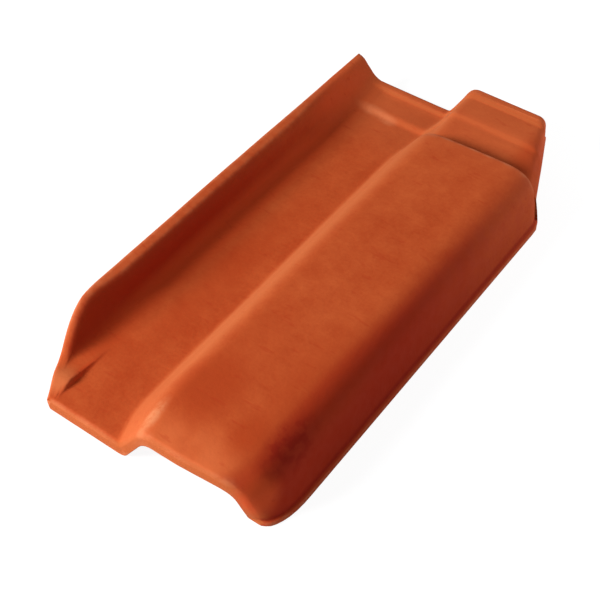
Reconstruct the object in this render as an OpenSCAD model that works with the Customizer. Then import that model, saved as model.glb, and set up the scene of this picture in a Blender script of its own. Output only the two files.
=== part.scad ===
// Clay roof tile of the Roman interlocking pattern, one pressed and fired piece:
// a water channel with a leaning side wall, a raised cover beside it, a tongue behind
// the cover that the next tile laps over, and a batten nib under the head.
// Millimetres. X runs across the tile, Y from the eaves end to the head, Z up.

/* [Overall] */
// Length from the eaves end to the back edge of the tongue
tile_length = 410; // [360:1:460]
// Width over the side wall and the foot of the cover
tile_width = 206; // [190:1:240]
// Thickness of the clay in the channel floor
floor_thickness = 11.5; // [9:0.5:14]
// Thickness of the clay in the cover and the tongue
cover_thickness = 10.5; // [8:0.5:12]
// Radius of the worn edge round both ends
end_radius = 3.5; // [1.5:0.5:4]

/* [Wall] */
// Height of the side wall's outer edge above the floor the tile lies on
wall_height = 37.5; // [30:0.5:44]
// How far the wall leans out from its foot to the inside of its rim
wall_lean = 12; // [8:1:16]
// Thickness of the wall at its rim
rim_thickness = 7; // [5:0.5:9]
// Fall of the rim from its outer edge to its inner edge
rim_slope = 1; // [1:0.5:5]
// Fall of the wall's height towards the head
wall_fall = 2; // [0:0.5:4]
// How far the rim stops short of the channel's end at the head
wall_short = 1; // [0:0.5:6]
// Width of the corner cut off the wall at the eaves end
corner_cut = 26; // [15:1:28]
// Length of that corner cut
corner_length = 70; // [55:1:95]
// Height of the ledge at the foot of the wall by the eaves end
ledge_height = 4.5; // [2:0.5:7]
// Width of the ledge
ledge_width = 12; // [8:0.5:14]
// Length of the ledge, where it runs out in the floor
ledge_length = 60; // [45:1:75]

/* [Cover] */
// Distance from the outside of the wall to the foot of the step
step_place = 79.5; // [72:0.5:86]
// Width of the sloping step between channel and cover
step_run = 24; // [18:0.5:28]
// Length of the curve over the top of the step
crest_round = 10; // [6:0.5:14]
// Height of the cover at the step
cover_height = 44; // [38:1:50]
// Rise of the cover from the step to the shoulder
cover_crown = 2; // [0:0.5:4]
// Width the outer flank takes from the shoulder to the foot
flank_run = 12.5; // [9:0.5:20]
// Length of the curve round the shoulder
shoulder_round = 22; // [10:1:26]
// Width of the bead along the foot of the flank
bead_width = 2.6; // [1:0.2:4]
// Height of that bead
bead_height = 4.6; // [3:0.2:6]
// Length of the nose over which the cover narrows at the eaves end
nose_length = 46; // [30:1:60]
// How far the cover dips at the tip of the nose
nose_drop = 3; // [0:0.5:5]

/* [Head] */
// How far the channel's end stops short of the tongue's end
channel_short = 10; // [4:1:20]
// Distance from the cover's back rim to the end of the tongue
tongue_length = 68; // [60:1:85]
// Drop from the cover to the groove behind its rim
rim_drop = 12; // [8:0.5:13]
// Rise of the tongue from that groove to the weather bar
tongue_rise = 3; // [0:0.5:5]
// Height of the weather bar, the step that crosses the tongue and the channel
bar_height = 3; // [1:0.5:4]
// Distance from the weather bar's top edge to the end behind it
bar_place = 32; // [26:1:36]
// Height of the lip at the end of the tongue and the channel
lip_height = 3; // [1:0.5:4]
// Length of that lip
lip_length = 7.5; // [6:0.5:12]
// Length of the slope up the weather bar and up the lip
riser_run = 3.5; // [2:0.5:5]
// Length of the curve along the tongue's outer edge, at its end
tongue_round = 7; // [2:0.5:8]

/* [Nib] */
// Width of the batten nib
nib_width = 42; // [25:1:46]
// Length of the nib's foot along the tile
nib_length = 9; // [6:0.5:11]

/* [Hidden] */

// main stations along the tile
rim_y = tile_length - tongue_length;
channel_length = tile_length - channel_short;
head_y = channel_length - rim_y;
straight_start = max(corner_length, ledge_length, nose_length) + 24;

// the section's main places across the tile
wall_foot = rim_thickness + wall_lean;
ledge_edge = wall_foot + ledge_width;
ledge_side = 1.8;
crest_x = step_place + step_run;
crest_side = 1.15 * crest_round;
shoulder_x = tile_width - flank_run;
nib_middle = (wall_foot + step_place) / 2;
nib_left = nib_middle - nib_width / 2;
nib_right = nib_middle + nib_width / 2;

// how far the step, the shoulder and the foot move in at the nose, and the flank's front edge back
nose_step = 10;
nose_crest = 7;
nose_shoulder = 9;
nose_foot = 10;
foot_round = 3;
nose_back = 11;

// the head: the step's foot moves in, the flank leans in and back, the skirt tapers, the underside rises
head_step = 11.5;
skirt_in = 7;
skirt_taper = 28.5;
skirt_height = 18;
skirt_lean = [11, 2.3];
flank_draw = 3;
flank_back = 1.5;
under_rise = bar_height + lip_height + 1.5;

// the nib's end, its front slope and its back slope
nib_end = channel_length - 5;
nib_front_run = 1.5;
nib_back_run = 1.2;

// smooth rise from 0 at a to 1 at b
function ramp(a, b, v) = let (t = min(1, max(0, (v - a) / (b - a)))) t * t * (3 - 2 * t);
// hinge that leaves zero through a curve of half width k
function hinge(v, k) = v <= -k ? 0 : v >= k ? v : (v + k) * (v + k) / (4 * k);
function mix(a, b, t) = a + (b - a) * t;

// share of the tongue passed at station s, and the rim as a steep drop
function tongue_part(s) = max(0, (s - rim_y) / tongue_length);
function rim_part(s) = ramp(rim_y - 1.6, rim_y + 2.4, s);
// the channel's stations close up past the rim so that its end stops short
function channel_y(s) = s <= rim_y ? s : rim_y + (s - rim_y) * head_y / tongue_length;
function head_s(y) = rim_y + (y - rim_y) * tongue_length / head_y;

// corner cut, nose and ledge at the eaves end
function cut_x(s) = corner_cut * pow(max(0, 1 - s / corner_length), 1.6);
function nose(s) = s >= nose_length ? 0 : pow(1 - s / nose_length, 2.2);
function ledge(s) = ledge_height * ramp(5, 18, s)
    * pow(max(0, 1 - max(0, s - 18) / (ledge_length - 18)), 1.5);

// weather bar and lip at distance d from the end
function riser(place, d) = ramp(place + riser_run, place, d);
function head_rise(d) = bar_height * riser(bar_place, d) + lip_height * riser(lip_length, d);
function floor_z(s) = floor_thickness + head_rise(channel_length - channel_y(s));
// the wall's foot rises without a step
function foot_z(s) = floor_thickness + (bar_height + lip_height) * ramp(rim_y, tile_length, s);
function under_z(s) = under_rise * ramp(rim_y + 6, tile_length - lip_length, s);
function tongue_z(s) = cover_height - rim_drop + head_rise(tile_length - s)
    + tongue_rise * ramp(rim_y + 2, tile_length - bar_place - riser_run, s);

// cover: its crest drops softly to the tongue, its top drops at the rim, its hollow in between
function cover_z(s) = cover_height - nose_drop * nose(s);
function crest_z(s, k) = mix(cover_z(s), tongue_z(s), ramp(rim_y - 4 * k, rim_y + 7 * k, s));
function top_z(s) = mix(cover_z(s), tongue_z(s), rim_part(s));
function hollow_z(s) = mix(cover_z(s), tongue_z(s), ramp(rim_y - 14, rim_y + 1, s)) - cover_thickness;

// foot of the step, its crest, and the flank's foot and shoulder
function step_x(s) = step_place + nose_step * nose(s) + head_step * ramp(rim_y - 22, tile_length, s);
function crest(s) = crest_x + nose_crest * nose(s);
function skirt_x(s) = tile_width - skirt_in - skirt_taper * tongue_part(s);
function foot(s) = let (g = rim_part(s))
    [mix(tile_width - nose_foot * nose(s) - foot_round * pow(max(0, 1 - s / 9), 2)
    - flank_draw * ramp(rim_y - 10, rim_y, s), skirt_x(s), g),
    mix(0, skirt_height + 2 * tongue_part(s), g)];
function shoulder(s) = let (g = rim_part(s), q = tongue_part(s))
    [mix(shoulder_x - nose_shoulder * nose(s), skirt_x(s) - mix(skirt_lean[0], skirt_lean[1], q), g),
    mix(cover_z(s) + cover_crown - nose(s), tongue_z(s) + 0.5 - 0.5 * q, g)];
function foot_y(s) = s + nose_back * nose(s) + flank_back * ramp(rim_y - 60, rim_y, s) * (1 - rim_part(s));

// nib: 1 where its foot stands, 0 clear of it
function nib_part(y) = max(0, min(1, (y - nib_end + nib_length + nib_front_run) / nib_front_run,
    (nib_end - y) / nib_back_run));

// corners of the upper side: wall, channel floor, then step, cover and flank
function wall_top(s) = let (c = cut_x(s), y = channel_y(s), zl = foot_z(s) + ledge(s),
    yr = y - wall_short * ramp(rim_y, tile_length, s),
    lean = (wall_height - rim_slope - floor_thickness) / (wall_lean - 1.5),
    x0 = c + rim_thickness * (1 - 0.5 * pow(min(1, c / corner_cut), 3)),
    x1 = wall_foot + hinge(x0 + 2.5 - wall_foot, 2),
    top = wall_height - rim_slope - wall_fall * ramp(rim_y - 120, rim_y + 30, s),
    zr = min(top, zl + hinge((wall_foot - 1.5 - x0) * lean, 6)),
    rise = rim_slope * mix(0.12, 1, ramp(0, 8, zr - zl)) * (1 - 0.5 * ramp(rim_y, tile_length, s)))
    [[c + 1.2, yr, zr + rise], [x0, yr, zr], [x1, y, zl]];
function floor_top(s) = let (y = channel_y(s), zf = floor_z(s),
    apart = ramp(ledge_length, straight_start, s) * (1 - ramp(rim_y - 70, rim_y, s)),
    xl = max(ledge_edge, wall_top(s)[2][0] + 2) + 16 * apart)
    [[xl, y, zf + ledge(s)], [xl + ledge_side, y, zf], [nib_right - 3, y, zf], [nib_right, y, zf],
    [step_x(s), y, zf]];
function cover_top(s) = let (g = rim_part(s), sh = shoulder(s), ft = foot(s), yf = foot_y(s), xt = crest(s))
    [[xt, s, crest_z(s, 1)], [xt + crest_side, s, crest_z(s, 0.6)],
    [mix(xt, sh[0], 0.4), s, mix(top_z(s), sh[1], 0.4)],
    [sh[0], mix(s, yf, 0.25), sh[1]],
    [ft[0] - mix(bead_width, 1.2, g), yf, ft[1] + mix(bead_height, 5, g)],
    [ft[0], yf, ft[1] + mix(bead_height - 1.2, 2.8, g)]];
function upper(s) = concat(wall_top(s), floor_top(s), cover_top(s));

// corners of the underside, in step with the upper ones
function wall_under(s) = let (c = cut_x(s), y = channel_y(s), rim = wall_top(s)[0], zu = under_z(s))
    [[c, rim[1], rim[2] - min(2.5, 0.35 * (rim[2] - zu))], [c, mix(rim[1], y, 0.5), mix(rim[2], zu, 0.5)],
    [max(c + 1, rim_thickness + 4), y, zu]];
function floor_under(s) = let (y = channel_y(s), zu = under_z(s), zn = zu * (1 - nib_part(y)),
    xn = max(nib_left, wall_under(s)[2][0] + 1.5))
    [[xn, y, zu], [xn + 1.5, y, zn], [nib_right - 1.5, y, zn], [nib_right, y, zu], [step_x(s) + 3, y, zu]];
function cover_under(s) = let (g = rim_part(s), sh = shoulder(s), ft = foot(s), yf = foot_y(s),
    hz = hollow_z(s), xh = crest(s) + 1.5, xi = sh[0] - 6, zi = sh[1] - top_z(s) + hz)
    [[xh, s, hz], [xh + crest_side, s, hz], [mix(xh, xi, 0.4), s, mix(hz, zi, 0.4)],
    [xi, mix(s, yf, 0.25), zi],
    [ft[0] - mix(10, 6, g), yf, ft[1] - g], [ft[0] - 0.5 * g, yf, ft[1]]];
function lower(s) = concat(wall_under(s), floor_under(s), cover_under(s));

// length of the curve at each corner, and the steps that draw it
function upper_blend(s) = let (g = rim_part(s), q = tongue_part(s))
    [1.2, 6, 12, 1.2, 1.2, 0, 0, 3, mix(crest_round, crest_round * 0.6, g), 0, 0,
    mix(shoulder_round, mix(shoulder_round * 0.5, tongue_round, q), g), 0.7, 1.4];
lower_blend = [1.2, 3, 3, 0.5, 0.5, 0.5, 0.5, 5, 8, 0, 0, 10, 1.5, 1];
blend_steps = [2, 4, 5, 2, 2, 0, 0, 3, 7, 0, 0, 8, 2, 2];

// worn ends: how far the clay draws in at station s for an edge radius r
function end_gap(s) = min(s, tile_length - s);
function draw_in(s, r) = let (e = end_gap(s)) e >= r ? 0 : r - sqrt(r * r - (r - e) * (r - e));
function toward(a, b, d) = let (n = norm(b - a)) a + (b - a) * min(0.36, d / n);

// one corner drawn as a curve between its two neighbours; a curve may run nearly to a plain neighbour
function reach(v, a, r, plain) = v + (a - v) * min(plain ? 0.9 : 0.45, r / norm(a - v));
function corner(a, v, b, r, n, plain_a, plain_b) = n == 0 ? [v] :
    let (p = reach(v, a, r, plain_a), q = reach(v, b, r, plain_b))
    [for (i = [0:n]) let (t = i / n) p * (1 - t) * (1 - t) + v * 2 * t * (1 - t) + q * t * t];

// closed section at station s, over the top and back along the underside
function section(s) = let (u = upper(s), w = lower(s), m = len(u) - 1, r = upper_blend(s),
    top = [for (i = [0:m]) toward(u[i], w[i], draw_in(s, end_radius))],
    low = [for (i = [0:m]) toward(w[i], u[i], draw_in(s, end_radius * 0.3))])
    concat([for (i = [0:m]) each corner(i == 0 ? low[0] : top[i - 1], top[i], i == m ? low[m] : top[i + 1],
        r[i], blend_steps[i], blend_steps[i - 1] == 0, blend_steps[i + 1] == 0)],
    [for (j = [0:m]) let (i = m - j) each corner(i == m ? top[m] : low[i + 1], low[i],
        i == 0 ? top[0] : low[i - 1], lower_blend[i], blend_steps[i],
        blend_steps[i + 1] == 0, blend_steps[i - 1] == 0)]);

// stations in order, none nearer than the gap to the one before it
function sorted(v) = len(v) <= 1 ? v : let (p = v[floor(len(v) / 2)])
    concat(sorted([for (e = v) if (e < p) e]), [p], sorted([for (e = v) if (e > p) e]));
function thinned(v, gap) = [for (i = [0:len(v) - 1]) 
    if (i == 0 || i == len(v) - 1 || v[i] - v[i - 1] > gap) v[i]];

// stations: close together at the ends, the nose, the rim, the bar and the nib, far apart between
round_steps = [for (a = [0:22.5:90]) end_radius * (1 - cos(a))];
nib_front = nib_end - nib_length - nib_front_run;
stations = thinned(sorted(concat(
    round_steps, [for (r = round_steps) tile_length - r],
    [for (i = [1:12]) end_radius + (straight_start - end_radius) * pow(i / 12, 1.3)],
    [(straight_start + rim_y) / 2],
    [for (v = [-22, -14, -8, -4, -1.6, -0.9, -0.3, 0.3, 0.9, 1.6, 2.4, 6, 11, 17, 24]) rim_y + v],
    [for (d = [bar_place, lip_length], i = [0:3]) tile_length - d - riser_run * i / 3],
    [for (d = [bar_place, lip_length], i = [0:3]) head_s(channel_length - d - riser_run * i / 3)],
    [for (y = [nib_front, nib_front + nib_front_run, nib_end - nib_back_run, nib_end]) head_s(y)])), 0.2);

// two triangles of one patch of the skin
function patch(a, b, c, d) = [[a, b, c], [a, c, d]];

module roof_tile() {
    rings = [for (s = stations) section(s)];
    n = len(rings[0]);
    last = (len(rings) - 1) * n;
    color([0.72, 0.3, 0.16])
    translate([-tile_width / 2, -tile_length / 2, 0])
    polyhedron(
        points = [for (r = rings) each r],
        faces = concat(
            [for (j = [0:n:last - n], i = [0:n - 1])
                each patch(j + i, j + n + i, j + n + (i + 1) % n, j + (i + 1) % n)],
            [for (i = [0:n / 2 - 2]) each patch(i, i + 1, n - 2 - i, n - 1 - i)],
            [for (i = [0:n / 2 - 2])
                each patch(last + n - 1 - i, last + n - 2 - i, last + i + 1, last + i)]));
}

roof_tile();
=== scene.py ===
import bpy
import math
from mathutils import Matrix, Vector


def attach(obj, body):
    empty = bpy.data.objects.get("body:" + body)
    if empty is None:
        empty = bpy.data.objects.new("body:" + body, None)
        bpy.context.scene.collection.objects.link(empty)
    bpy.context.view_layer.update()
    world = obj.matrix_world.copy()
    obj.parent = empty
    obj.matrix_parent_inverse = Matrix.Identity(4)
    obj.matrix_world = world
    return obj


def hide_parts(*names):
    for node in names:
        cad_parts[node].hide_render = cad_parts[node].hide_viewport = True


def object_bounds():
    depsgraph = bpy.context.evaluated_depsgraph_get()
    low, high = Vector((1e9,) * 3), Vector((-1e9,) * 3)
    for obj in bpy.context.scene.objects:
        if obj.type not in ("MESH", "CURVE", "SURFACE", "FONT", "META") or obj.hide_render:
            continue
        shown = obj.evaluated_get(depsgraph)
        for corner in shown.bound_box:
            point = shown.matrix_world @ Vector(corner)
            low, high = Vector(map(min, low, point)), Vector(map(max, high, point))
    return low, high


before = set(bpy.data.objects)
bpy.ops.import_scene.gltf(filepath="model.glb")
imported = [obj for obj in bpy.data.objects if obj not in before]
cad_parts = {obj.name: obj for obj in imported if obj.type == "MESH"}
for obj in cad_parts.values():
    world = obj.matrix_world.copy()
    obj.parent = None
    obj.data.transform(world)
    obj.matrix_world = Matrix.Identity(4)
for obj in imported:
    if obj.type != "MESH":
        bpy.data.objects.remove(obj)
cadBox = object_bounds()
print("frame loaded")


def deselectAll():
    if bpy.context.mode != "OBJECT":
        bpy.ops.object.mode_set(mode="OBJECT")
    bpy.ops.object.select_all(action="DESELECT")


def makeActive(piece):
    deselectAll()
    piece.select_set(True)
    bpy.context.view_layer.objects.active = piece


def applyModifier(piece, kind, name, **values):
    modifier = piece.modifiers.new(name, kind)
    for key, value in values.items():
        setattr(modifier, key, value)
    makeActive(piece)
    bpy.ops.object.modifier_apply(modifier=name)


# the tile's skin: the pressed form on a finer mesh, with the unevenness of fired clay
tileSkin = {
    "mergeWithin": 0.00001,             # the frame's triangles are loose
    "quadTurn": 0.7,                    # radians, how far off flat and square a pair may be
    "longestEdge": 0.006,               # longer edges are cut in two
    "cutPasses": 5,
    "rimSpread": 0.0035,                # the wall's inner edge slumped this far inwards
    "rimKeep": 0.005,                   # how far from the outer face the slump is full
    "rimZone": 0.03,                    # how far from the outer face it reaches
    "rimHeight": (0.018, 0.03),         # z where it begins, z where it is full
    "rimReach": (-0.135, -0.1, 0.08, 0.15),  # y where it begins, is full, starts to fade, ends
    "flatBelow": 0.0015,                # the resting faces stay flat
    "flatShare": 0.4,                   # share of that height in which nothing moves
    "swell": (0.07, 1, 0.0006),         # slow waves of the clay: size, detail, depth
    "lumps": (0.012, 2, 0.00015),       # small lumps left by the press, likewise
    "softShare": 0.5,                   # how much a pass evens out
    "barReach": (0.15, 0.199),          # y of the bars and lips at the head, worn soft
    "barUpward": 0.4,                   # only faces turned up this far
    "barPasses": 10,
    "cornerReach": (-0.2, -0.13),       # y of the cut corner, whose outline is softened
    "cornerSide": -0.073,               # x it reaches to
    "cornerLow": 0.003,                 # z from which it is softened
    "cornerPasses": 6,
    "wearPasses": 2,                    # spreads the worn edges
    "wallShadeShare": 0.5,                   # the painted shade on the wall is weaker than on the flank
    "evenWeight": 50,                   # large faces lead the shading
}


def cutLongEdges(piece):
    makeActive(piece)
    for turn in range(tileSkin["cutPasses"]):
        bpy.ops.object.mode_set(mode="EDIT")
        bpy.ops.mesh.select_mode(type="EDGE")
        bpy.ops.mesh.select_all(action="DESELECT")
        bpy.ops.object.mode_set(mode="OBJECT")
        points = piece.data.vertices
        for edge in piece.data.edges:
            first, second = edge.vertices
            edge.select = (points[first].co - points[second].co).length > tileSkin["longestEdge"]
        bpy.ops.object.mode_set(mode="EDIT")
        bpy.ops.mesh.subdivide(number_cuts=1)
        bpy.ops.object.mode_set(mode="OBJECT")


# from 0 to 1, eased at both ends
def ramp(low, high, value):
    share = min(1.0, max(0.0, (value - low) / (high - low)))
    return share * share * (3 - 2 * share)


def spreadRim(piece):
    outside = cadBox[0][0]
    begin, full, fade, end = tileSkin["rimReach"]
    for vertex in piece.data.vertices:
        if vertex.co.x < outside + tileSkin["rimZone"]:
            share = ramp(outside, outside + tileSkin["rimKeep"], vertex.co.x)
            share *= ramp(*tileSkin["rimHeight"], vertex.co.z)
            share *= ramp(begin, full, vertex.co.y) * (1 - ramp(fade, end, vertex.co.y))
            vertex.co.x += tileSkin["rimSpread"] * share


def pressUneven(piece):
    upper = piece.vertex_groups.new(name="aboveRest")
    for vertex in piece.data.vertices:
        height = vertex.co.z / tileSkin["flatBelow"] - tileSkin["flatShare"]
        upper.add([vertex.index], min(1.0, max(0.0, height)), "REPLACE")
    for name in ("swell", "lumps"):
        size, detail, depth = tileSkin[name]
        texture = bpy.data.textures.new(name, "CLOUDS")
        texture.noise_scale = size
        texture.noise_depth = detail
        applyModifier(piece, "DISPLACE", name, texture=texture, texture_coords="LOCAL",
                      strength=depth, vertex_group="aboveRest")


def soften(piece, name, chosen, passes, **axes):
    group = piece.vertex_groups.new(name=name)
    group.add(chosen, 1.0, "REPLACE")
    applyModifier(piece, "SMOOTH", name, factor=tileSkin["softShare"], iterations=passes,
                  vertex_group=name, **axes)


def softenBars(piece):
    low, high = tileSkin["barReach"]
    onBars = [vertex.index for vertex in piece.data.vertices
              if low < vertex.co.y < high and vertex.normal.z > tileSkin["barUpward"]]
    soften(piece, "wornBars", onBars, tileSkin["barPasses"], use_x=False, use_y=False, use_z=True)


def softenCorner(piece):
    near, far = tileSkin["cornerReach"]
    onCorner = [vertex.index for vertex in piece.data.vertices
                if near < vertex.co.y < far and vertex.co.z > tileSkin["cornerLow"]
                and vertex.co.x < tileSkin["cornerSide"]]
    soften(piece, "cutCorner", onCorner, tileSkin["cornerPasses"])


# how sharply each point bends outwards, from the edges that meet there
def findBends(mesh):
    bends = [0.0] * len(mesh.vertices)
    ways = [0] * len(mesh.vertices)
    for edge in mesh.edges:
        first, second = (mesh.vertices[index] for index in edge.vertices)
        along = (second.co - first.co).normalized()
        bends[first.index] -= along.dot(first.normal)
        bends[second.index] += along.dot(second.normal)
        ways[first.index] += 1
        ways[second.index] += 1
    bends = [total / max(1, way) for total, way in zip(bends, ways)]
    for turn in range(tileSkin["wearPasses"]):
        spread = [value * way for value, way in zip(bends, ways)]  # half its own, half its neighbours'
        for edge in mesh.edges:
            first, second = edge.vertices
            spread[first] += bends[second]
            spread[second] += bends[first]
        bends = [total / max(1, 2 * way) for total, way in zip(spread, ways)]
    return bends


# marks for the finish: the worn edges, and which way each side is turned, which places the painted
# light and shade
def markSkin(piece):
    mesh = piece.data
    marks = {"edgeWear": findBends(mesh)}
    turned = [vertex.normal.copy() for vertex in mesh.vertices]
    marks["litSide"] = [-normal.x for normal in turned]
    marks["frontSide"] = [-normal.y for normal in turned]
    marks["shadedSide"] = [normal.x * (1.0 if vertex.co.x > 0 else tileSkin["wallShadeShare"])
                         for vertex, normal in zip(mesh.vertices, turned)]
    for name, values in marks.items():
        mesh.attributes.new(name, "FLOAT", "POINT").data.foreach_set("value", values)


def makeTileSkin():
    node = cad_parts["roof_tile"]
    piece = node.copy()
    piece.data = node.data.copy()
    piece.name = "claySkin"
    piece.parent = None
    bpy.context.scene.collection.objects.link(piece)
    makeActive(piece)
    bpy.ops.object.mode_set(mode="EDIT")
    bpy.ops.mesh.select_all(action="SELECT")
    bpy.ops.mesh.remove_doubles(threshold=tileSkin["mergeWithin"])
    bpy.ops.mesh.tris_convert_to_quads(face_threshold=tileSkin["quadTurn"],
                                       shape_threshold=tileSkin["quadTurn"])
    bpy.ops.object.mode_set(mode="OBJECT")
    cutLongEdges(piece)
    spreadRim(piece)
    pressUneven(piece)
    softenBars(piece)
    softenCorner(piece)
    piece.vertex_groups.clear()
    makeActive(piece)
    bpy.ops.object.shade_smooth()
    markSkin(piece)
    applyModifier(piece, "WEIGHTED_NORMAL", "evenLight", keep_sharp=False,
                  weight=tileSkin["evenWeight"])
    return piece


claySkin = makeTileSkin()
print("clay skin:", len(claySkin.data.polygons), "faces")


# lays out and joins the nodes of a material or of the world
class NodeSheet:
    stepRight, rowWidth, rowDrop = 180, 2400, 300

    def __init__(self, owner):
        self.tree = owner.node_tree
        self.place = 0

    def add(self, kind, **settings):
        node = self.tree.nodes.new(kind)
        self.place += self.stepRight
        node.location = (self.place % self.rowWidth, -self.rowDrop * (self.place // self.rowWidth))
        for key, value in settings.items():
            setattr(node, key, value)
        return node

    def join(self, source, target):
        self.tree.links.new(source, target)

    def noise(self, vector, scale, detail, roughness, distortion=0.0):
        node = self.add("ShaderNodeTexNoise")
        node.inputs["Scale"].default_value = scale
        node.inputs["Detail"].default_value = detail
        node.inputs["Roughness"].default_value = roughness
        node.inputs["Distortion"].default_value = distortion
        self.join(vector, node.inputs["Vector"])
        return node.outputs["Fac"]

    def mark(self, name):
        return self.add("ShaderNodeAttribute", attribute_name=name).outputs["Fac"]

    def range(self, value, low, high, atLow, atHigh):
        node = self.add("ShaderNodeMapRange", interpolation_type="SMOOTHSTEP")
        node.inputs["From Min"].default_value = low
        node.inputs["From Max"].default_value = high
        node.inputs["To Min"].default_value = atLow
        node.inputs["To Max"].default_value = atHigh
        self.join(value, node.inputs["Value"])
        return node.outputs["Result"]

    def math(self, operation, first, second):
        node = self.add("ShaderNodeMath", operation=operation)
        for socket, value in zip(node.inputs, (first, second)):
            if isinstance(value, (int, float)):
                socket.default_value = value
            else:
                self.join(value, socket)
        return node.outputs["Value"]

    def times(self, total, *others):
        for value in others:
            total = self.math("MULTIPLY", total, value)
        return total

    def mix(self, factor, first, second):
        node = self.add("ShaderNodeMix", data_type="RGBA")
        self.join(factor, node.inputs[0])
        for socket, value in ((node.inputs[6], first), (node.inputs[7], second)):  # the colour sockets
            if isinstance(value, tuple):
                socket.default_value = (*value, 1.0)
            else:
                self.join(value, socket)
        return node.outputs[2]

    # 1 where a ray comes straight from the camera, or by way of gloss or glass
    def seen(self):
        ray = self.add("ShaderNodeLightPath")
        direct = self.math("MAXIMUM", ray.outputs["Is Camera Ray"], ray.outputs["Is Transmission Ray"])
        return self.math("MAXIMUM", direct, ray.outputs["Is Glossy Ray"])

    def mixShaders(self, factor, first, second, output):
        both = self.add("ShaderNodeMixShader")
        for source, target in zip((factor, first, second), both.inputs):
            self.join(source, target)
        self.join(both.outputs["Shader"], self.tree.nodes[output].inputs["Surface"])


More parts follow.
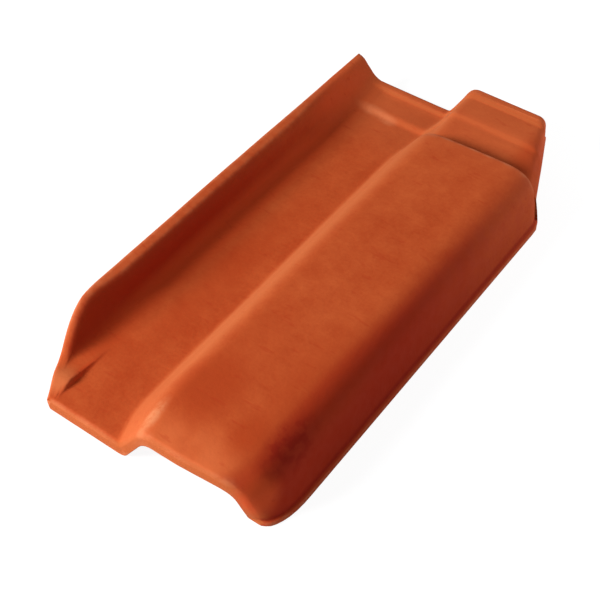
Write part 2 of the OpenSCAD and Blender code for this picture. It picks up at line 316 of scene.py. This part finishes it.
# fired clay: terracotta with soft kiln mottling, paler worn edges and some bloom, with painted light
# and shade: a lit peach nose, lit and shaded sides, dark creases and patches
clay = {
    "red": (0.36, 0.042, 0.008),        # hotter, redder patches; also painted shade on the channel by the wall, on the shoulder and on the faces turned to the head
    "peach": (0.49, 0.09, 0.0225),      # paler patches
    "deep": (0.335, 0.0215, 0.005),     # painted shade: the right side, turned from the lamp, darker and redder; also the shoulder's turn and the scuffs
    "paintedLight": (0.465, 0.118, 0.037),      # painted light: the sides turned to the lamp, on the left
    "worn": (0.52, 0.158, 0.07),        # worn edges
    "nose": (0.525, 0.108, 0.031),      # painted light: the eaves end of the cover, paler where it slopes to the lamp, broken by the mottling
    "front": (0.37, 0.083, 0.022),      # painted shade: the eaves end's own face, darker than its light gives
    "bead": (0.47, 0.056, 0.014),       # painted light along the flank's foot, on the bead
    "paintedShadowLift": (0.56, 0.064, 0.014),   # painted light, lighter and redder, in the wall's shade along its foot and on the ledge's side
    "corner": (0.6, 0.072, 0.017),      # painted light on the nose's right corner and the wall's head
    "head": (0.475, 0.102, 0.031),      # the head, paler than the rest
    "bloomAndHighlight": (0.56, 0.19, 0.08),        # pale smears, and a painted highlight on the crest
    "scorchAndShade": (0.26, 0.013, 0.0045),    # the darkest: the shoulder's scorch, and painted shade in the inner corners and along the flank's foot
    "tones": ((13.0, 0.7), (48.0, 0.8), (140.0, 0.6), (420.0, 0.45)),  # patches per metre, strength
    "toneNoise": (2.0, 0.5),            # detail, roughness
    # ranges: two values, and how strong the tint is at each
    "headReach": (0.1, 0.17, 0.0, 0.5),         # y
    "noseReach": (-0.197, -0.17, 0.85, 0.0),    # y
    "noseSide": (-0.005, 0.03, 0.0, 1.0),       # x
    "noseMottle": (0.3, 0.6, 0.6, 1.0),
    "noseTurn": (0.05, 0.35, 1.0, 0.0),         # turned to the right
    "paintedShadeTurn": (0.0, 0.62, 0.0, 1.0),          # painted shade where turned to the right, away from the lamp
    "paintedShadeReach": (-0.06, 0.17, 1.0, 0.15),      # y
    "paintedLightTurn": (0.02, 0.9, 0.0, 0.9),          # painted light where turned to the left, towards the lamp
    "paintedLightReach": (-0.2, -0.1, 0.65, 1.0),       # y
    "frontShadeTurn": (0.35, 0.85, 0.0, 0.9),        # painted shade where turned to the eaves
    "backShadeTurn": (-0.7, -0.25, 0.6, 0.0),        # painted shade, redder, where turned to the head
    "footTurn": (0.25, 0.5, 0.0, 1.0),          # turned to the right
    "footSide": (0.05, 0.07, 0.0, 1.0),         # x
    "footShadeLine": (0.0055, 0.009, 0.7, 0.0),      # z of the painted shade line over the bead
    "beadLightHeight": (0.0036, 0.005, 0.8, 0.0),      # z of the painted light on the bead
    "wearBend": (0.04, 0.14, 0.0, 0.7),         # outer edges
    "wearGrain": (0.35, 0.65, 0.3, 1.0),
    "wearReach": (0.13, 0.155, 1.0, 0.35),      # y
    "creaseShadeBend": (-0.2, -0.09, 0.5, 0.0),      # painted shade in the inner corners
    "scorchGrain": (0.4, 0.6, 0.4, 0.95),
    "scuffs": (0.62, 0.74, 0.0, 0.25),
    "bloomGrain": (0.35, 0.6, 0.2),             # the last one is each smear's own
    "spotFade": (0.3, 1.1, 1.0, 0.0),           # of a patch's reach
    "patches": (                        # middle, reach, colour and strength of each
        # painted light, lighter and redder, in the wall's shade: along its foot, on the ledge's side
        # and on the ledge's top
        ((-0.079, 0.0, 0.012), (0.014, 0.22, 0.013), "paintedShadowLift", 0.8),
        ((-0.0713, -0.179, 0.0135), (0.0035, 0.03, 0.004), "paintedShadowLift", 0.8),
        ((-0.078, -0.191, 0.015), (0.011, 0.017, 0.006), "paintedLight", 0.75),
        # painted light on the nose's right corner
        ((0.09, -0.193, 0.03), (0.018, 0.02, 0.026), "corner", 0.9),
        # painted shade: the channel darker towards the wall and by the cut corner
        ((-0.051, -0.06, 0.0115), (0.018, 0.13, 0.03), "red", 0.5),
        ((-0.071, -0.147, 0.0115), (0.013, 0.02, 0.02), "red", 0.5),
        # painted shade where the shoulder turns from the lamp
        ((0.074, -0.12, 0.044), (0.03, 0.09, 0.03), "red", 0.5),
        ((0.083, -0.11, 0.042), (0.012, 0.09, 0.016), "deep", 0.6),
        # redder patches
        ((0.022, -0.155, 0.0445), (0.03, 0.034, 0.02), "red", 0.85),
        ((0.064, -0.168, 0.045), (0.015, 0.022, 0.02), "red", 0.7),
        ((0.026, -0.112, 0.0445), (0.026, 0.05, 0.02), "red", 0.35),
        ((0.076, 0.164, 0.032), (0.018, 0.04, 0.02), "red", 0.65),
        # painted light on the wall's head
        ((-0.093, 0.155, 0.025), (0.016, 0.05, 0.02), "corner", 0.5)),
    "scorchPlace": ((0.0865, -0.158, 0.0395), (0.0155, 0.031, 0.022)),  # a dark patch on the shoulder, by the nose, partly painted shade where the shoulder turns from the lamp
    "scuffStretch": (0.3, 1.0, 1.0),    # longer across the tile
    "scuffNoise": (190.0, 2.0, 0.6),    # per metre, detail, roughness
    "bloomPlaces": (                    # middle, reach and strength of each smear
        ((-0.067, 0.162, 0.0145), (0.018, 0.006, 0.016), 0.4),
        ((-0.05, 0.159, 0.0145), (0.011, 0.006, 0.011), 0.4),
        # a painted highlight on the crest by the nose
        ((0.005, -0.192, 0.0415), (0.0065, 0.02, 0.01), 0.85)),
    "bloomNoise": (95.0, 4.0, 0.7, 0.5),  # per metre, detail, roughness, distortion
    "roughness": (0.3, 0.75, 0.78, 0.93),  # over the grain
    "specular": 0.08,
    "relief": (0.8, 0.5, 0.6),          # how much the grain, the finest grain and the scuffs stand out
    "bumpStrength": 0.6,
    "bumpDepth": 0.0003,
}


# 1 in the middle of a patch, 0 outside it
def claySpot(sheet, where, middle, reach):
    node = sheet.add("ShaderNodeMapping", vector_type="TEXTURE")
    node.inputs["Location"].default_value = middle
    node.inputs["Scale"].default_value = reach
    sheet.join(where, node.inputs["Vector"])
    far = sheet.add("ShaderNodeVectorMath", operation="LENGTH")
    sheet.join(node.outputs["Vector"], far.inputs[0])
    return sheet.range(far.outputs["Value"], *clay["spotFade"])


def makeFiredClay():
    material = bpy.data.materials.new("firedClay")
    material.use_nodes = True
    sheet = NodeSheet(material)
    shader = material.node_tree.nodes["Principled BSDF"]
    where = sheet.add("ShaderNodeTexCoord").outputs["Object"]
    place = sheet.add("ShaderNodeSeparateXYZ")
    sheet.join(where, place.inputs["Vector"])
    across, along, height = (place.outputs[axis] for axis in "XYZ")
    turn = sheet.mark("shadedSide")
    facing = sheet.mark("frontSide")
    bend = sheet.mark("edgeWear")

    def tinted(value, name):
        return sheet.range(value, *clay[name])

    # kiln patches, mottling and two grains, each finer than the last, in one run of tones
    middle = 0.5  # of a noise, and of the run from red to peach
    tone = middle
    layers = []
    for scale, strength in clay["tones"]:
        layers.append(sheet.noise(where, scale, *clay["toneNoise"]))
        step = sheet.times(sheet.math("SUBTRACT", layers[-1], middle), strength)
        tone = sheet.math("ADD", step, tone)
    mottle, grain, fineGrain = layers[1:]
    colour = sheet.mix(tone, clay["red"], clay["peach"])
    colour = sheet.mix(tinted(along, "headReach"), colour, clay["head"])

    # painted light and shade by which way each side is turned: the lit peach nose, the right side
    # darker and redder, the left paler, the front face darker and the back redder
    nose = sheet.times(tinted(along, "noseReach"), tinted(across, "noseSide"),
                       tinted(mottle, "noseMottle"), tinted(turn, "noseTurn"))
    colour = sheet.mix(nose, colour, clay["nose"])
    deep = sheet.times(tinted(turn, "paintedShadeTurn"), tinted(along, "paintedShadeReach"))
    colour = sheet.mix(deep, colour, clay["deep"])
    paintedLight = sheet.times(tinted(sheet.mark("litSide"), "paintedLightTurn"), tinted(along, "paintedLightReach"))
    colour = sheet.mix(paintedLight, colour, clay["paintedLight"])
    colour = sheet.mix(tinted(facing, "frontShadeTurn"), colour, clay["front"])
    colour = sheet.mix(tinted(facing, "backShadeTurn"), colour, clay["red"])

    # the flank's foot: a painted shade line over a painted light on the bead
    foot = sheet.times(tinted(turn, "footTurn"), tinted(across, "footSide"))
    colour = sheet.mix(sheet.times(foot, tinted(height, "footShadeLine")), colour, clay["scorchAndShade"])
    colour = sheet.mix(sheet.times(foot, tinted(height, "beadLightHeight")), colour, clay["bead"])

    # worn outer edges, and painted shade in the inner corners
    wear = sheet.times(tinted(bend, "wearBend"), tinted(grain, "wearGrain"), tinted(along, "wearReach"))
    colour = sheet.mix(wear, colour, clay["worn"])
    colour = sheet.mix(tinted(bend, "creaseShadeBend"), colour, clay["scorchAndShade"])

    # lighter and redder patches, some of them painted light and painted shade, the scorch, partly
    # painted shade, and short dark scuffs across the tile
    for spot, reach, name, strength in clay["patches"]:
        patch = sheet.times(claySpot(sheet, where, spot, reach), strength)
        colour = sheet.mix(patch, colour, clay[name])
    scorchAndShade = sheet.times(claySpot(sheet, where, *clay["scorchPlace"]), tinted(grain, "scorchGrain"))
    colour = sheet.mix(scorchAndShade, colour, clay["scorchAndShade"])
    stretch = sheet.add("ShaderNodeMapping")
    stretch.inputs["Scale"].default_value = clay["scuffStretch"]
    sheet.join(where, stretch.inputs["Vector"])
    scuff = sheet.noise(stretch.outputs["Vector"], *clay["scuffNoise"])
    colour = sheet.mix(tinted(scuff, "scuffs"), colour, clay["deep"])

    # pale bloom at the head of the channel, and a painted highlight on the crest by the nose
    smear = sheet.noise(where, *clay["bloomNoise"])
    for spot, reach, strength in clay["bloomPlaces"]:
        patch = sheet.times(claySpot(sheet, where, spot, reach),
                            sheet.range(smear, *clay["bloomGrain"], strength))
        colour = sheet.mix(patch, colour, clay["bloomAndHighlight"])
    sheet.join(colour, shader.inputs["Base Color"])
    sheet.join(tinted(grain, "roughness"), shader.inputs["Roughness"])
    shader.inputs["Specular IOR Level"].default_value = clay["specular"]

    grainShare, fineShare, scuffShare = clay["relief"]
    relief = sheet.math("ADD", sheet.times(fineGrain, fineShare), sheet.times(grain, grainShare))
    relief = sheet.math("SUBTRACT", relief, sheet.times(scuff, scuffShare))
    bump = sheet.add("ShaderNodeBump")
    bump.inputs["Strength"].default_value = clay["bumpStrength"]
    bump.inputs["Distance"].default_value = clay["bumpDepth"]
    sheet.join(relief, bump.inputs["Height"])
    sheet.join(bump.outputs["Normal"], shader.inputs["Normal"])
    return material


firedClay = makeFiredClay()
claySkin.data.materials.clear()
claySkin.data.materials.append(firedClay)
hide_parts("roof_tile")
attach(claySkin, "root")
print("clay finish set")

# floor and light
studio = {
    "floorSize": 8.0,
    "floorColour": (0.8, 0.8, 0.8),
    "floorRough": 0.9,
    "floorWhite": 0.8,      # share of plain white the camera sees
    "floorGlow": 1.15,
    "keyFrom": (-0.53, -0.7, 0.48),
    "keyDistance": 2.0,
    "keySize": 0.8,
    "keyPower": 66.3,
    "fillFrom": (0.59, 0.76, 0.27),
    "fillDistance": 0.6,
    "fillSize": 0.3,
    "fillPower": 1.2,
    "skyColour": (1.0, 1.0, 1.0),
    "skyStrength": 0.245,   # as it lights the tile; the camera sees it plain white
}


def makeFloor():
    deselectAll()
    bpy.ops.mesh.primitive_plane_add(size=studio["floorSize"], location=(0, 0, 0))
    floor = bpy.context.object
    floor.name = "paleFloor"
    material = bpy.data.materials.new("palePaper")
    material.use_nodes = True
    sheet = NodeSheet(material)
    shader = material.node_tree.nodes["Principled BSDF"]
    shader.inputs["Base Color"].default_value = (*studio["floorColour"], 1.0)
    shader.inputs["Roughness"].default_value = studio["floorRough"]
    shader.inputs["Specular IOR Level"].default_value = 0.0
    white = sheet.add("ShaderNodeEmission")
    white.inputs["Strength"].default_value = studio["floorGlow"]
    share = sheet.times(sheet.seen(), studio["floorWhite"])
    sheet.mixShaders(share, shader.outputs["BSDF"], white.outputs["Emission"], "Material Output")
    floor.data.materials.append(material)


def makeLamp(name):
    toward = Vector(studio[name + "From"]).normalized()
    lamp = bpy.data.lights.new(name, "AREA")
    lamp.shape = "DISK"
    lamp.size = studio[name + "Size"]
    lamp.energy = studio[name + "Power"]
    holder = bpy.data.objects.new(name, lamp)
    holder.location = toward * studio[name + "Distance"]
    holder.rotation_euler = (-toward).to_track_quat("-Z", "Y").to_euler()
    holder.visible_camera = False
    bpy.context.scene.collection.objects.link(holder)


def makeSky():
    world = bpy.data.worlds.new("studioSky")
    world.use_nodes = True
    bpy.context.scene.world = world
    sheet = NodeSheet(world)
    sky = world.node_tree.nodes["Background"]
    sky.inputs["Strength"].default_value = studio["skyStrength"]
    paper = sheet.add("ShaderNodeBackground")
    for background in (sky, paper):
        background.inputs["Color"].default_value = (*studio["skyColour"], 1.0)
    sheet.mixShaders(sheet.seen(), sky.outputs["Background"], paper.outputs["Background"],
                     "World Output")


makeFloor()
makeLamp("key")
makeLamp("fill")
makeSky()
print("floor and light set")

# the photograph's viewing angle, in degrees and metres, with the lens in millimetres
photoView = {
    "azimuth": 36.057,
    "elevation": 48.238,
    "distance": 0.8582,
    "target": (0.0086, -0.0406, 0.015),
    "lens": 74.04,
}


def makeCamera():
    around = math.radians(photoView["azimuth"])
    up = math.radians(photoView["elevation"])
    back = Vector((math.sin(around) * math.cos(up), -math.cos(around) * math.cos(up), math.sin(up)))
    lens = bpy.data.cameras.new("photoCamera")
    lens.lens = photoView["lens"]
    camera = bpy.data.objects.new("photoCamera", lens)
    camera.location = Vector(photoView["target"]) + back * photoView["distance"]
    camera.rotation_euler = (-back).to_track_quat("-Z", "Y").to_euler()
    bpy.context.scene.collection.objects.link(camera)
    bpy.context.scene.camera = camera


makeCamera()
bpy.context.scene.view_settings.view_transform = "Standard"
print("camera set")
